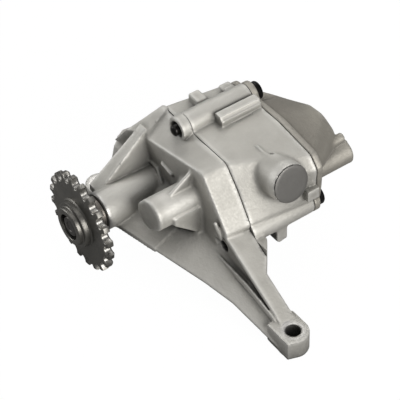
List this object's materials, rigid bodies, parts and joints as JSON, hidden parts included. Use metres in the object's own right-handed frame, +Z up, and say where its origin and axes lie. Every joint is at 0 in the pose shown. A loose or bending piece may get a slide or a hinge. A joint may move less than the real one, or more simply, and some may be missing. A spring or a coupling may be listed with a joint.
{
  "type": "engine oil pump",
  "caption": "Chain-driven gear oil pump for an engine: long shaft neck with sprocket, bracket legs with drilled feet, split alloy housing, relief valve and rear pipe stub.",
  "frame": {"origin": "on the drive shaft's axis, in the middle plane of the sprocket's teeth (the chain's plane)", "axes": "+X runs back along the drive shaft from the sprocket to the rear cover, +Y to the left seen from the sprocket, +Z up away from the feet"},
  "size_m": [0.1675, 0.189, 0.086],
  "materials": {
    "alloy": "as cast, fine grain",
    "dark_alloy": "as cast, darker",
    "dark_steel": "hardened, dark",
    "steel": "ground",
    "black_steel": "black oxide",
    "bronze": "sintered"
  },
  "bodies": {
    "casing": {"front_housing": "alloy", "middle_housing": "alloy", "rear_cover": "dark_alloy", "neck_front_bush": "bronze", "neck_rear_bush": "bronze", "idler_front_bush": "bronze", "partition_drive_bush": "bronze", "partition_idler_bush": "bronze", "cover_drive_bush": "bronze", "cover_idler_bush": "bronze", "through_bolts": "black_steel", "flange_bolt": "black_steel", "front_dowels": "steel", "rear_dowels": "steel", "relief_plug": "steel", "relief_spring": "steel", "thrust_washer": "bronze"},
    "drive": {"drive_shaft": "steel", "sprocket": "dark_steel", "sprocket_bolt": "black_steel", "sprocket_washer": "steel", "sprocket_key": "steel", "main_drive_gear": "steel", "scavenge_drive_gear": "steel", "drive_gear_keys": "steel", "shaft_retaining_ring": "black_steel"},
    "idler": {"idler_shaft": "steel", "main_idler_gear": "steel", "scavenge_idler_gear": "steel", "idler_retaining_ring": "black_steel"},
    "valve": {"relief_piston": "steel"}
  },
  "joints": [
    {"name": "drive_spin", "type": "hinge", "parent": "casing", "child": "drive", "pos_m": [0, 0, 0], "axis": [1, 0, 0], "continuous": true},
    {"name": "idler_spin", "type": "hinge", "parent": "casing", "child": "idler", "pos_m": [0, -0.03625, 0.0169], "axis": [1, 0, 0], "continuous": true},
    {"name": "relief_slide", "type": "slide", "parent": "casing", "child": "valve", "axis": [0, -0.9744, 0.225], "range_m": [0, 0.005], "stiffness_N_per_m": 2500, "springref_m": -0.004, "deforming": ["relief_spring"]}
  ],
  "couplings": [
    {"joint": "idler_spin", "follows": "drive_spin", "ratio": -1}
  ]
}
